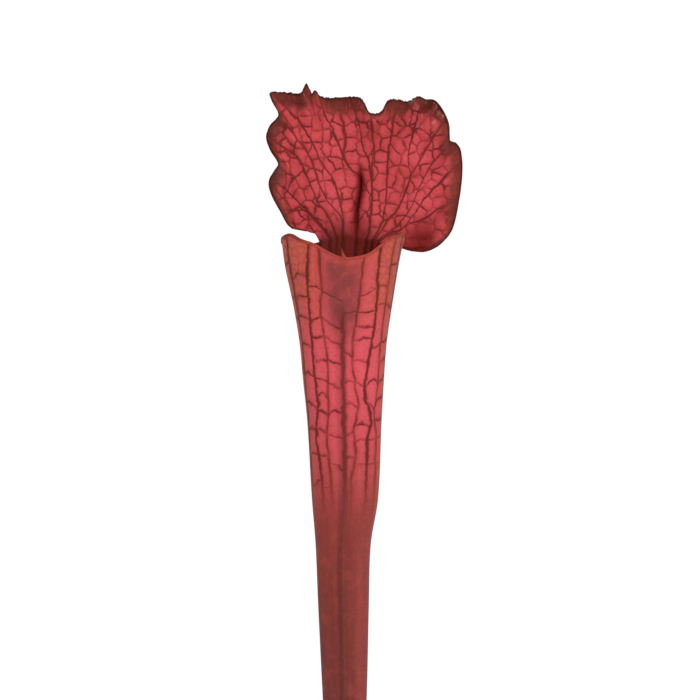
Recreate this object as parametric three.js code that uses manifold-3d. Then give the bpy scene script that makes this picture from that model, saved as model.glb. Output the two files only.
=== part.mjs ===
// A trumpet pitcher plant in a plain round plastic pot.
//
// Millimetres, +Z up. The origin is on the table, under the middle of the pot. The tall pitcher
// faces -Y. A pitcher is one leaf: a hollow tube with a keel-like wing down its front, a lip
// round its mouth, and a ruffled hood that rises from the back of the lip.

import * as THREE from "three";
import { mergeVertices } from "three/addons/utils/BufferGeometryUtils.js";
import Module from "manifold-3d";

const wasm = await Module();
wasm.setup();

// ---------------------------------------------------------------- driving dimensions

const GAP = 0.35; // clearance between pieces that touch

const POT = {
  height: 105,
  rimRadius: 60,
  rimInside: 57.2,
  collarRadius: 59,
  collarBottom: 89,
  wallTop: 55.4, // outer radius just under the collar
  footRadius: 42,
  footWidth: 3.2,
  wall: 1.4,
  floor: 4, // underside of the raised floor
  drainRadius: 3.6,
  drainCircle: 29,
  drains: 8,
  middleDrain: 5,
  notchWidth: 9,
  notchHeight: 2.4,
  sides: 48,
};

const SOIL_TOP = 92;
const SOIL = { dome: 1.6, edgeDrop: 1.2, sides: 40 };

const CROWN = { x: 1, y: 3, z: 90, halfLength: 19, halfWidth: 16, halfHeight: 9 };
const OLD_STEM = { radius: 6.5, length: 27, heading: 165, drop: 5 };
const ROOTS = { count: 6, radius: 1.3, start: 6, reach: 33, bottom: 22, sides: 3, steps: 6 };

// The tall pitcher's tube: height above its base, half width, half depth, and how far its
// middle is set back and to the right.
const TUBE = [
  [0, 4.0, 3.8, 0, 0],
  [7, 4.0, 3.8, 0, 0],
  [16, 3.1, 2.9, -0.6, 0],
  [32, 3.5, 3.2, -2.2, 0],
  [60, 5.1, 4.7, -4, 0],
  [100, 6.9, 6.3, -5, -0.1],
  [131, 8.0, 7.2, -4.6, -0.5],
  [150, 8.7, 7.8, -4, -0.6],
  [165, 10.5, 9.3, -3.5, 0],
  [190, 11.8, 10.3, -2.6, -0.2],
  [204, 12.9, 11.2, -2, -0.5],
  [216, 13.9, 11.9, -1.4, -0.6],
  [229, 15.9, 13.2, -0.8, -0.7],
  [242, 18.3, 15.0, -0.2, -1],
  [250, 20.0, 16.4, 0.2, -1.1],
];
const TUBE_TOP = 250;
const RIM_STARTS = 195; // the rings below are level, and those above lean into the lip

// Height of the lip round the mouth, by degrees from the front towards +X.
const LIP = [
  [-180, 250],
  [-158, 249.2],
  [-120, 248.6],
  [-90, 250.0],
  [-67, 251],
  [-45, 249.2],
  [-28, 248.4],
  [-12, 245.6],
  [0, 244.0],
  [12, 244.5],
  [25, 246.2],
  [39, 248.4],
  [52, 250.6],
  [66, 251],
  [90, 250.2],
  [120, 248.8],
  [148, 249.2],
  [180, 250],
  [202, 249.2],
];

// The hood joins the back of the lip between these two angles.
const NECK_RIGHT = 148;
const NECK_LEFT = 202;

// Edge of the hood, from its lower right corner over the top to its lower left corner:
// distance to the right, height above the leaf's base, and how far it is folded back.
const HOOD_EDGE = [
  [21.8, 244.6, 3],
  [26.5, 244.6, 4],
  [31.2, 246.8, 3],
  [35.2, 251.8, 2],
  [37.4, 261.2, 2],
  [38.5, 270.8, 3],
  [38, 277.2, 2.5],
  [36.6, 279.8, 1],
  [34.3, 281.1, -1],
  [33.9, 286, 0],
  [32.4, 290, 2],
  [29.3, 293.6, 3],
  [26.6, 294.1, -1],
  [24, 295.2, -2.5],
  [20.6, 293.8, 2],
  [17.9, 294.3, 2],
  [14.9, 294.4, 1],
  [12.6, 291.8, 0],
  [9.6, 289.8, -1],
  [7.4, 291.6, -1.5],
  [5, 294.7, -0.5],
  [2.6, 295.2, 1],
  [-1.6, 294.9, 2.5],
  [-5.7, 294.7, 2],
  [-8.2, 295.2, 0.5],
  [-9.8, 297.4, -1],
  [-11, 296.4, -1],
  [-12.8, 299.6, -1],
  [-14.6, 296.5, 0],
  [-19, 295.9, 1],
  [-23.8, 295.7, -4],
  [-22, 289.4, -1.5],
  [-24.8, 285.6, 2],
  [-25.8, 281.9, 4.5],
  [-24.6, 277.9, 3],
  [-21.9, 273.7, -1],
  [-23.7, 270.3, 2],
  [-25.2, 267.2, 4],
  [-24.1, 263.3, 3.5],
  [-21.6, 258.4, 2.5],
  [-20, 254.8, 2],
  [-17.9, 252, 1],
];

// Middle of the hood in side view: share of the way up from the lip, and how far back it is.
const HOOD_SIDE = [
  [0, 16.2],
  [0.25, 19.2],
  [0.5, 20.2],
  [0.75, 18.6],
  [1, 13.5],
];
const HOOD_CHEEK = 3.2; // the panels beside the crease stand this far forward
const CREASE = { depth: 2.4, halfWidth: 1.6, bottom: 1.5, lean: 7, ends: 0.62 };

// Front wing: height above the leaf's base, and how far it stands out.
const WING = [
  [10, 0],
  [40, 2.6],
  [100, 4],
  [180, 3.4],
  [225, 1.6],
  [242, 0],
];

const TALL = { wall: 0.9, girth: 1, rise: 1, floor: 42 };
const SHORT = { wall: 0.8, girth: 0.4, rise: 0.29, floor: 60 };

// The young pitcher whose lid is still shut: height, half width, half depth, bent forward by.
const CLOSED_PITCHER = [
  [0, 2.2, 2.0, 0],
  [6, 2.2, 2.0, 0],
  [14, 1.8, 1.7, 0],
  [30, 2.6, 2.3, -0.6],
  [44, 3.6, 3.0, -1],
  [54, 4.8, 3.4, -0.8],
  [60, 5.4, 3.2, 0.2],
  [65, 4.6, 2.6, 1.4],
  [69, 2.6, 1.7, 2.6],
];
const CLOSED_TIP = [72, 3.8];

// Flat leaves: length, full width, thickness, how far the tip bends out, width at the base.
const PHYLLODE = { width: 8.5, thickness: 1.4, base: 5, bend: 16 };
const SCALE_LEAF = { width: 6.5, thickness: 0.9, base: 5.6, bend: 3 };

// Where each leaf grows: its distance and direction from the tall pitcher, in degrees round
// from +X, and how far it leans out that way. spin turns it about its own length.
const TALL_PITCHER_AT = [0, 2];
const LEAVES = {
  small_pitcher: { distance: 11.5, direction: 22, lean: 13, spin: -75 },
  closed_pitcher: { distance: 11.5, direction: 152, lean: 9, spin: -30 },
  phyllode_1: { distance: 10.5, direction: 216, lean: 18, spin: 0, length: 74 },
  phyllode_2: { distance: 10.5, direction: 322, lean: 22, spin: 0, length: 60 },
  phyllode_3: { distance: 12, direction: 84, lean: 15, spin: 0, length: 82 },
  scale_leaf_1: { distance: 8, direction: 268, lean: 14, spin: 0, length: 19 },
  scale_leaf_2: { distance: 7.6, direction: 352, lean: 12, spin: 0, length: 15 },
  scale_leaf_3: { distance: 7.8, direction: 184, lean: 12, spin: 0, length: 17 },
  scale_leaf_4: { distance: 8.6, direction: 55, lean: 10, spin: 0, length: 13 },
};
const SOCKET_DEPTH = 4.5; // how deep a leaf's base sits in the crown

// ---------------------------------------------------------------- small helpers

const radians = THREE.MathUtils.degToRad;
const { lerp, smoothstep } = THREE.MathUtils;

// The values at x on smooth curves through rows of [x, value, value, ...].
function along(rows, x) {
  let i = 0;
  while (i < rows.length - 2 && x > rows[i + 1][0]) i++;
  const slope = (k, n) => {
    const before = rows[Math.max(k - 1, 0)];
    const after = rows[Math.min(k + 1, rows.length - 1)];
    return (after[n] - before[n]) / (after[0] - before[0]);
  };
  const span = rows[i + 1][0] - rows[i][0];
  const t = THREE.MathUtils.clamp((x - rows[i][0]) / span, 0, 1);
  return rows[i].slice(1).map((value, k) => {
    const n = k + 1;
    const h00 = 2 * t ** 3 - 3 * t ** 2 + 1;
    const h10 = t ** 3 - 2 * t ** 2 + t;
    const h01 = 3 * t ** 2 - 2 * t ** 3;
    const h11 = t ** 3 - t ** 2;
    return h00 * value + h10 * span * slope(i, n) + h01 * rows[i + 1][n] + h11 * span * slope(i + 1, n);
  });
}

// Points and triangles, filled in by strips between rows of [key, point] with rising keys.
class Skin {
  points = [];
  faces = [];

  row(keys, pointAt) {
    return keys.map((key) => [key, this.points.push(pointAt(key)) - 1]);
  }

  // A row that goes all the way round ends on its own first point.
  ring(keys, pointAt) {
    const row = this.row(keys, pointAt);
    return [...row, [keys[0] + 360, row[0][1]]];
  }

  strip(lower, upper) {
    let i = 0;
    let j = 0;
    while (i < lower.length - 1 || j < upper.length - 1) {
      const lowerNext = i < lower.length - 1 ? lower[i + 1][0] : Infinity;
      const upperNext = j < upper.length - 1 ? upper[j + 1][0] : Infinity;
      if (lowerNext <= upperNext) {
        this.faces.push([lower[i][1], lower[i + 1][1], upper[j][1]]);
        i++;
      } else {
        this.faces.push([lower[i][1], upper[j + 1][1], upper[j][1]]);
        j++;
      }
    }
  }

  // A fan from one point to a ring, facing down unless it faces up.
  cap(ring, middle, facesUp) {
    const centre = this.points.push(middle) - 1;
    for (let i = 0; i < ring.length - 1; i++) {
      const [a, b] = facesUp ? [i, i + 1] : [i + 1, i];
      this.faces.push([centre, ring[a][1], ring[b][1]]);
    }
  }

  normals() {
    const sums = this.points.map(() => new THREE.Vector3());
    for (const face of this.faces) {
      const [a, b, c] = face.map((k) => this.points[k]);
      const across = b.clone().sub(a).cross(c.clone().sub(a));
      face.forEach((k) => sums[k].add(across));
    }
    return sums.map((sum) => sum.normalize());
  }

  geometry() {
    const geometry = new THREE.BufferGeometry().setFromPoints(this.points);
    geometry.setIndex(this.faces.flat());
    geometry.computeVertexNormals();
    return geometry;
  }
}

function solidOf(geometry) {
  const bare = geometry.index ? geometry.clone() : mergeVertices(geometry);
  bare.deleteAttribute("normal");
  bare.deleteAttribute("uv");
  const merged = mergeVertices(bare, 1e-4);
  return new wasm.Manifold(
    new wasm.Mesh({
      numProp: 3,
      vertProperties: new Float32Array(merged.attributes.position.array),
      triVerts: new Uint32Array(merged.index.array),
    }),
  );
}

function geometryOf(solid) {
  const mesh = solid.getMesh();
  const geometry = new THREE.BufferGeometry();
  geometry.setAttribute("position", new THREE.BufferAttribute(mesh.vertProperties, 3));
  geometry.setIndex(new THREE.BufferAttribute(mesh.triVerts, 1));
  geometry.computeVertexNormals();
  return geometry;
}

// ---------------------------------------------------------------- open pitchers

// A point of the tube's skin, at an angle from the front and a height up to the lip.
function tubePoint(angle, height) {
  const [halfWidth, halfDepth, back, right] = along(TUBE, height);
  const lip = along(LIP, angle > NECK_LEFT ? angle - 360 : angle)[0];
  const up = height + (lip - TUBE_TOP) * smoothstep(height, RIM_STARTS, TUBE_TOP);
  const turn = radians(angle);
  return new THREE.Vector3(right + halfWidth * Math.sin(turn), back - halfDepth * Math.cos(turn), up);
}

// A point of the hood: across runs from its right side, 0, to its left side, 1, and up runs
// from the lip, 0, to its edge, 1.
const hoodEdge = HOOD_EDGE.map((point, i) => [i / (HOOD_EDGE.length - 1), ...point]);
function hoodPoint(across, up) {
  const neck = tubePoint(lerp(NECK_RIGHT, NECK_LEFT, across), TUBE_TOP);
  const [edgeX, edgeZ, fold] = along(hoodEdge, across);
  const x = lerp(neck.x, edgeX, up);
  const z = lerp(neck.z, edgeZ, up);
  const side = Math.abs(2 * across - 1);
  const cheek = HOOD_CHEEK * Math.sin(Math.PI * side) ** 2 * smoothstep(up, 0, 0.5);
  const creaseX = CREASE.bottom + CREASE.lean * up;
  const crease =
    CREASE.depth *
    Math.exp(-(((x - creaseX) / CREASE.halfWidth) ** 2)) *
    smoothstep(up, 0, 0.1) *
    (1 - smoothstep(up, CREASE.ends - 0.2, CREASE.ends));
  const middle = along(HOOD_SIDE, up)[0];
  const neckShare = 1 - smoothstep(up, 0, 0.3);
  const y = lerp(middle, neck.y + middle - HOOD_SIDE[0][1], neckShare);
  return new THREE.Vector3(x, y - cheek + crease + fold * smoothstep(up, 0.3, 1), z);
}

// Angles round the tube: the front, where the wing stands, the sides, and the neck.
function tubeAngles(sideSteps, neckSteps) {
  const wingFoot = 7;
  const steps = (from, to, count) =>
    Array.from({ length: count }, (_, i) => lerp(from, to, i / count));
  return [
    0,
    ...steps(wingFoot, NECK_RIGHT, sideSteps),
    ...steps(NECK_RIGHT, NECK_LEFT, neckSteps),
    ...steps(NECK_LEFT, 360 - wingFoot, sideSteps),
    360 - wingFoot,
  ];
}

function openPitcher({ wall, girth, rise, floor }, heights, sideSteps, hoodSteps) {
  const scaled = (point) => new THREE.Vector3(point.x * girth, point.y * girth, point.z * rise);
  const skin = new Skin();
  const angles = tubeAngles(sideSteps, hoodSteps[0]);
  const rings = heights.map((height) => skin.ring(angles, (angle) => scaled(tubePoint(angle, height))));
  for (let i = 1; i < rings.length; i++) skin.strip(rings[i - 1], rings[i]);

  const inNeck = ([angle]) => angle >= NECK_RIGHT - 0.01 && angle <= NECK_LEFT + 0.01;
  const share = ([angle, point]) => [(angle - NECK_RIGHT) / (NECK_LEFT - NECK_RIGHT), point];
  let below = rings.at(-1).filter(inNeck).map(share);
  hoodSteps.slice(1).forEach((count, k) => {
    const up = (k + 1) / (hoodSteps.length - 1);
    const keys = Array.from({ length: count + 1 }, (_, i) => i / count);
    const row = skin.row(keys, (across) => scaled(hoodPoint(across, up)));
    skin.strip(below, row);
    below = row;
  });

  // The skin gets its wall: an outer copy with the wing, and an inner copy above the floor.
  const normals = skin.normals();
  const count = skin.points.length;
  const sideOf = (sign) => skin.points.map((p, k) => p.clone().addScaledVector(normals[k], (sign * wall) / 2));
  const leaf = new Skin();
  leaf.points = [...sideOf(1), ...sideOf(-1)];
  rings.forEach((ring, i) => {
    leaf.points[ring[0][1]].y -= Math.max(0, along(WING, heights[i])[0]) * girth;
  });
  const floorRing = heights.findIndex((height) => height >= floor);
  const buried = new Set(rings.slice(0, floorRing).flatMap((ring) => ring.map((entry) => entry[1])));
  const inside = (face) => face.map((k) => k + count);
  leaf.faces = skin.faces.slice();
  leaf.faces.push(
    ...skin.faces.filter((face) => !face.some((k) => buried.has(k))).map((face) => inside(face).reverse()),
  );

  // Edges used once are the lip and the hood's edge: a narrow band joins the two copies there.
  const used = new Set(skin.faces.flatMap(([a, b, c]) => [`${a} ${b}`, `${b} ${c}`, `${c} ${a}`]));
  const bottom = new Set(rings[0].map((entry) => entry[1]));
  for (const edge of used) {
    const [a, b] = edge.split(" ").map(Number);
    if (used.has(`${b} ${a}`) || (bottom.has(a) && bottom.has(b))) continue;
    leaf.faces.push([b, a, a + count], [b, a + count, b + count]);
  }
  const middleOf = (height) => {
    const [, , back, right] = along(TUBE, height);
    return scaled(new THREE.Vector3(right, back, height));
  };
  leaf.cap(rings[0], middleOf(heights[0]), false);
  const floorInside = rings[floorRing].map(([key, k]) => [key, k + count]);
  leaf.cap(floorInside, middleOf(heights[floorRing]), true);
  return leaf.geometry();
}

const TALL_HEIGHTS = [0, 7, 16, 30, 44, 62, 84, 108, 132, 148, 158, 168, 184, 204, 218, 230, 240, TUBE_TOP];
const tallPitcher = () => openPitcher(TALL, TALL_HEIGHTS, 9, [10, 16, 24, 32, 41, 41, 41, 41]);

const SHORT_HEIGHTS = [0, 16, 34, 62, 100, 132, 158, 184, 216, 236, TUBE_TOP];
const shortPitcher = () => openPitcher(SHORT, SHORT_HEIGHTS, 6, [6, 10, 16, 24, 30]);

// ---------------------------------------------------------------- closed and flat leaves

function loft(rows, sides, tip) {
  const skin = new Skin();
  const keys = Array.from({ length: sides }, (_, i) => (360 * i) / sides);
  const rings = rows.map((row) => skin.ring(keys, (key) => row(radians(key))));
  for (let i = 1; i < rings.length; i++) skin.strip(rings[i - 1], rings[i]);
  const middle = new THREE.Vector3();
  for (const [, k] of rings[0].slice(0, -1)) middle.addScaledVector(skin.points[k], 1 / sides);
  skin.cap(rings[0], middle, false);
  skin.cap(rings.at(-1), tip, true);
  return skin.geometry();
}

function closedPitcher() {
  const sides = 12;
  const rows = CLOSED_PITCHER.map(
    ([height, halfWidth, halfDepth, forward]) =>
      (turn) =>
        new THREE.Vector3(halfWidth * Math.sin(turn), -forward - halfDepth * Math.cos(turn), height),
  );
  return loft(rows, sides, new THREE.Vector3(0, -CLOSED_TIP[1], CLOSED_TIP[0]));
}

function flatLeaf({ width, thickness, base, bend }, length) {
  const sides = 8;
  const shares = [0, 0.1, 0.25, 0.42, 0.6, 0.76, 0.88, 0.96];
  const rows = shares.map((share) => {
    const swell = Math.sin(Math.PI * smoothstep(share, -0.5, 1.05)) ** 0.8;
    const halfWidth = lerp(base, width, smoothstep(share, 0.05, 0.5)) * 0.5 * swell;
    const halfThick = 0.5 * thickness * lerp(1, 0.45, share);
    return (turn) =>
      new THREE.Vector3(
        halfWidth * Math.sin(turn),
        -bend * share ** 2 - halfThick * Math.cos(turn) - 0.12 * halfWidth * Math.sin(turn) ** 2,
        length * share,
      );
  });
  return loft(rows, sides, new THREE.Vector3(0, -bend, length));
}

// ---------------------------------------------------------------- rhizome, soil and pot

function crownTop(x, y) {
  const across = ((x - CROWN.x) / CROWN.halfLength) ** 2 + ((y - CROWN.y) / CROWN.halfWidth) ** 2;
  return CROWN.z + CROWN.halfHeight * Math.sqrt(Math.max(0, 1 - across));
}

function rootPath(index) {
  const heading = radians((360 * index) / ROOTS.count + 25);
  const points = [0, 0.3, 0.65, 1].map((share) => {
    const reach = lerp(ROOTS.start, ROOTS.reach, share ** 0.7);
    const turn = heading + 0.35 * Math.sin(3 * share + index);
    return new THREE.Vector3(
      CROWN.x + reach * Math.cos(turn),
      CROWN.y * 0.5 + reach * Math.sin(turn),
      lerp(CROWN.z - 4, ROOTS.bottom + 5 * (index % 3), share),
    );
  });
  return new THREE.CatmullRomCurve3(points);
}

// The creeping stem: the crown that the leaves grow from, its older end, and fleshy roots.
// spare makes it larger all over, for the hollow that it lies in.
function rhizomeSolid(spare) {
  const crown = new THREE.SphereGeometry(1, 20, 10)
    .scale(CROWN.halfLength + spare, CROWN.halfWidth + spare, CROWN.halfHeight + spare)
    .translate(CROWN.x, CROWN.y, CROWN.z);
  let body = solidOf(crown);
  const heading = radians(OLD_STEM.heading);
  const stem = new THREE.CapsuleGeometry(OLD_STEM.radius + spare, OLD_STEM.length, 3, 12)
    .rotateZ(Math.PI / 2 - Math.atan2(-OLD_STEM.drop, OLD_STEM.length))
    .translate(-OLD_STEM.length / 2, 0, 0)
    .applyMatrix4(new THREE.Matrix4().makeRotationX(Math.PI / 2))
    .rotateZ(heading - Math.PI)
    .translate(CROWN.x, CROWN.y, CROWN.z - 1);
  body = body.add(solidOf(stem));
  const section = new THREE.Shape().absarc(0, 0, ROOTS.radius + spare, 0, 2 * Math.PI);
  for (let i = 0; i < ROOTS.count; i++) {
    const root = new THREE.ExtrudeGeometry(section, {
      steps: ROOTS.steps,
      curveSegments: ROOTS.sides,
      extrudePath: rootPath(i),
    });
    body = body.add(solidOf(root));
  }
  return body;
}

function leafSocket(leaf, halfWidth, halfDepth) {
  const height = 30;
  const socket = new THREE.CylinderGeometry(1, 1, height, 14)
    .rotateX(Math.PI / 2)
    .scale(halfWidth + GAP, halfDepth + GAP, 1)
    .translate(0, 0, height / 2 - GAP);
  leaf.updateWorldMatrix(true, false);
  return solidOf(socket.applyMatrix4(leaf.matrixWorld));
}

// The soil fills the pot to SOIL_TOP, a little higher in the middle than at the wall.
function potInside(height) {
  return lerp(POT.footRadius, POT.wallTop, height / POT.collarBottom) - POT.wall;
}

function soilSolid() {
  const bottom = POT.floor + POT.wall + GAP;
  const edge = potInside(SOIL_TOP - 4) - GAP;
  const profile = [
    [0, bottom],
    [potInside(bottom) - GAP - 0.3, bottom],
    [potInside(SOIL_TOP / 2) - GAP, SOIL_TOP / 2],
    [edge, SOIL_TOP - 4],
    [edge - 0.5, SOIL_TOP - SOIL.edgeDrop],
    [edge * 0.75, SOIL_TOP],
    [edge * 0.4, SOIL_TOP + SOIL.dome * 0.7],
    [0, SOIL_TOP + SOIL.dome],
  ];
  const points = profile.map(([r, z]) => new THREE.Vector2(r, z));
  const lathe = new THREE.LatheGeometry(points, SOIL.sides).rotateX(Math.PI / 2);
  return solidOf(lathe).subtract(rhizomeSolid(GAP));
}

function potSolid() {
  const { floor, wall, footRadius, footWidth, wallTop, collarBottom, height } = POT;
  const profile = [
    [0, floor],
    [footRadius - footWidth - 1.2, floor],
    [footRadius - footWidth, 0],
    [footRadius, 0],
    [wallTop, collarBottom - 1],
    [POT.collarRadius - 0.6, collarBottom],
    [POT.collarRadius, height - 4],
    [POT.rimRadius, height - 3],
    [POT.rimRadius, height - 0.8],
    [POT.rimRadius - 0.8, height],
    [POT.rimInside + 0.6, height],
    [POT.rimInside, height - 0.8],
    [POT.rimInside - 0.3, collarBottom + 1.4],
    [wallTop - wall, collarBottom - 1.5],
    [potInside(floor + wall), floor + wall],
    [0, floor + wall],
  ];
  const points = profile.map(([r, z]) => new THREE.Vector2(r, z));
  let pot = solidOf(new THREE.LatheGeometry(points, POT.sides).rotateX(Math.PI / 2));
  const drain = (radius, x, y) =>
    solidOf(new THREE.CylinderGeometry(radius, radius, 10, 12).rotateX(Math.PI / 2).translate(x, y, floor));
  pot = pot.subtract(drain(POT.middleDrain, 0, 0));
  for (let i = 0; i < POT.drains; i++) {
    const turn = (2 * Math.PI * i) / POT.drains;
    const [x, y] = [Math.cos(turn), Math.sin(turn)];
    pot = pot.subtract(drain(POT.drainRadius, POT.drainCircle * x, POT.drainCircle * y));
    const notch = new THREE.BoxGeometry(10, POT.notchWidth, 2 * POT.notchHeight)
      .translate(footRadius - footWidth / 2, 0, 0)
      .rotateZ(turn);
    pot = pot.subtract(solidOf(notch));
  }
  return pot;
}

// ---------------------------------------------------------------- materials and assembly

const material = (color, roughness) => new THREE.MeshStandardMaterial({ color, roughness, metalness: 0 });
const PITCHER_RED = material(0xb84248, 0.5);
const YOUNG_LEAF = material(0x9a5a3c, 0.55);
const LEAF_GREEN = material(0x6f8443, 0.55);
const PAPERY_BROWN = material(0x8a5a38, 0.8);
const RHIZOME_BROWN = material(0x5f3f28, 0.85);
const PEAT = material(0x33241a, 0.95);
const POT_PLASTIC = material(0x35383a, 0.5);

const plant = new THREE.Group();

function addMesh(name, geometry, finish, parent = plant) {
  const mesh = new THREE.Mesh(geometry, finish);
  mesh.name = name;
  parent.add(mesh);
  return mesh;
}

// Sets a leaf in the crown: it leans out in its direction, turned about its own length.
function plantLeaf(name, geometry, finish) {
  const { distance, direction, lean, spin } = LEAVES[name];
  const turn = radians(direction);
  const x = TALL_PITCHER_AT[0] + distance * Math.cos(turn);
  const y = TALL_PITCHER_AT[1] + distance * Math.sin(turn);
  const place = new THREE.Group();
  place.position.set(x, y, crownTop(x, y) - SOCKET_DEPTH);
  place.rotation.set(radians(lean), 0, turn + Math.PI / 2, "ZYX");
  plant.add(place);
  const leaf = addMesh(name, geometry, finish, place);
  leaf.rotation.z = radians(spin);
  return leaf;
}

const sockets = [];

const tall = addMesh("main_pitcher", tallPitcher(), PITCHER_RED);
tall.position.set(TALL_PITCHER_AT[0], TALL_PITCHER_AT[1], SOIL_TOP);
sockets.push(leafSocket(tall, TUBE[0][1] + TALL.wall / 2, TUBE[0][2] + TALL.wall / 2));

const short = plantLeaf("small_pitcher", shortPitcher(), PITCHER_RED);
const shortBase = (halfSize) => halfSize * SHORT.girth + SHORT.wall / 2;
sockets.push(leafSocket(short, shortBase(TUBE[0][1]), shortBase(TUBE[0][2])));

const closed = plantLeaf("closed_pitcher", closedPitcher(), YOUNG_LEAF);
sockets.push(leafSocket(closed, CLOSED_PITCHER[0][1], CLOSED_PITCHER[0][2]));

for (const name of Object.keys(LEAVES)) {
  const kind = name.startsWith("phyllode") ? PHYLLODE : SCALE_LEAF;
  if (!name.startsWith("phyllode") && !name.startsWith("scale_leaf")) continue;
  const finish = kind === PHYLLODE ? LEAF_GREEN : PAPERY_BROWN;
  const leaf = plantLeaf(name, flatLeaf(kind, LEAVES[name].length), finish);
  sockets.push(leafSocket(leaf, kind.width / 2, kind.thickness / 2 + 1));
}

const rhizome = sockets.reduce((body, socket) => body.subtract(socket), rhizomeSolid(0));
addMesh("rhizome", geometryOf(rhizome), RHIZOME_BROWN);
addMesh("growing_medium", geometryOf(soilSolid()), PEAT);
addMesh("pot", geometryOf(potSolid()), POT_PLASTIC);

export default plant;
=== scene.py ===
import bisect
import functools
import math
import random

import bmesh
import bpy
from mathutils import Matrix, Vector, noise


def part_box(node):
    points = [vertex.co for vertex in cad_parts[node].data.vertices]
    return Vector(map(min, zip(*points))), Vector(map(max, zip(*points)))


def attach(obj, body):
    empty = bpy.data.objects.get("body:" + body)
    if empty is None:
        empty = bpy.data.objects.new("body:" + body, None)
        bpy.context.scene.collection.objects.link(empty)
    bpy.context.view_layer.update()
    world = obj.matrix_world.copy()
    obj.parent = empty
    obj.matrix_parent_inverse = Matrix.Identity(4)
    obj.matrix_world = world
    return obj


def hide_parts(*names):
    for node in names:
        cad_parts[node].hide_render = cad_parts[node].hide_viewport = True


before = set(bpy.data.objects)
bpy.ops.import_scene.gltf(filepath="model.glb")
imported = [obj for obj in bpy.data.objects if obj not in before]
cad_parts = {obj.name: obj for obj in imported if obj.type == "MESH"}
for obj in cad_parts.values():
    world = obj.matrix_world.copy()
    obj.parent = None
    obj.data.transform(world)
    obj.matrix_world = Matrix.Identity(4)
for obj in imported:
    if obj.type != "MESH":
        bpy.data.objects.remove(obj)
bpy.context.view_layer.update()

# -------------------- pot
# A thin growing pot, moulded in charcoal plastic. Its wall tapers to a foot ring with notches,
# a collar stiffens the rim, and the raised floor has drain holes. It holds everything else.

MM = 0.001


class Wire:
    """A shader socket: arithmetic on it adds Math nodes to its finish."""

    def __init__(self, finish, socket):
        self.finish = finish
        self.socket = socket

    def out(self, name):
        return Wire(self.finish, self.socket.node.outputs[name])

    def math(self, operation, *others):
        """A Math node whose first value is this socket."""
        values = dict(enumerate((self, *others)))
        return self.finish.node("Math", values, operation=operation)

    __add__ = __radd__ = functools.partialmethod(math, "ADD")
    __sub__ = functools.partialmethod(math, "SUBTRACT")
    __mul__ = __rmul__ = functools.partialmethod(math, "MULTIPLY")
    __truediv__ = functools.partialmethod(math, "DIVIDE")
    __abs__ = functools.partialmethod(math, "ABSOLUTE")
    larger = functools.partialmethod(math, "MAXIMUM")
    smaller = functools.partialmethod(math, "MINIMUM")

    def __rsub__(self, other):
        return self.finish.node("Math", {0: other, 1: self}, operation="SUBTRACT")

    def ease(self, low, high):
        """0 at low, 1 at high, smooth between them. low may be the larger."""
        ends = {"Value": self, "From Min": low, "From Max": high}
        return self.finish.node("MapRange", ends, interpolation_type="SMOOTHSTEP")


class Finish:
    """A material and its Principled shader."""

    def __init__(self, name, specular):
        self.material = bpy.data.materials.new(name)
        self.material.use_nodes = True
        self.tree = self.material.node_tree
        self.shader = self.tree.nodes["Principled BSDF"]
        self.set("Specular IOR Level", specular)

    def node(self, kind, inputs, **settings):
        """Adds a node: its settings first, then the values or wires of its inputs."""
        made = self.tree.nodes.new("ShaderNode" + kind)
        for key, value in settings.items():
            setattr(made, key, value)
        for key, value in inputs.items():
            self.feed(made.inputs[key], value)
        return Wire(self, next(s for s in made.outputs if s.enabled))

    def feed(self, socket, value):
        if isinstance(value, Wire):
            self.tree.links.new(value.socket, socket)
        else:
            socket.default_value = value

    def set(self, name, value):
        self.feed(self.shader.inputs[name], value)

    def ramp(self, value, stops):
        """The colour for a value, between stops of place and colour."""
        made = self.node("ValToRGB", {0: value})
        elements = made.socket.node.color_ramp.elements
        while len(elements) < len(stops):
            elements.new(1)
        for element, (place, colour) in zip(elements, stops):
            element.position = place
            element.color = colour
        return made

    def place(self):
        """Where a point is, in millimetres."""
        point = self.node("TexCoord", {}).out("Object")
        return self.node("VectorMath", {0: point, "Scale": 1 / MM}, operation="SCALE")

    def noise(self, where, size, detail=2, roughness=0.5):
        """Soft noise round 0.5, with features about size across, and finer ones by detail."""
        sockets = {"Vector": where, "Scale": 1 / size, "Detail": detail, "Roughness": roughness}
        return self.node("TexNoise", sockets)

    def cells(self, where, randomness=1.0, scale=1.0, dimensions="2D"):
        """Distance to the edges of uneven cells, about 1 across at scale 1."""
        sockets = {"Vector": where, "Scale": scale, "Randomness": randomness}
        return self.node("TexVoronoi", sockets, feature="DISTANCE_TO_EDGE",
                         voronoi_dimensions=dimensions)

    def attribute(self, name):
        return self.node("Attribute", {}, attribute_name=name)

    def split(self, vector):
        return self.node("SeparateXYZ", {0: vector})

    def pair(self, name):
        """The two coordinates of a piece's UV map."""
        first = self.split(self.node("UVMap", {}, uv_map=name))
        return first, first.out("Y")

    def blend(self, share, first, second):
        return self.node("Mix", {0: share, 2: first, 3: second}, data_type="FLOAT")

    def mix(self, share, first, second):
        return self.node("Mix", {0: share, 6: first, 7: second}, data_type="RGBA")

    def coated(self, colour, *coats):
        """A colour with coats laid over it: how much each covers, and its own colour."""
        for share, coat in coats:
            colour = self.mix(share, colour, coat)
        return colour

    def vector(self, x, y, z=0.0):
        return self.node("CombineXYZ", {0: x, 1: y, 2: z})

    def show(self, colour, roughness, height=None, depth=0.0):
        """Sets what is seen, with relief of depth, in metres, where height is 1."""
        self.set("Base Color", colour)
        self.set("Roughness", roughness)
        if height:
            sockets = {"Height": height, "Distance": depth, "Strength": 1.0}
            self.set("Normal", self.node("Bump", sockets))


LIT = 1.22  # how much brighter than its own colour the studio light makes a surface


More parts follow.
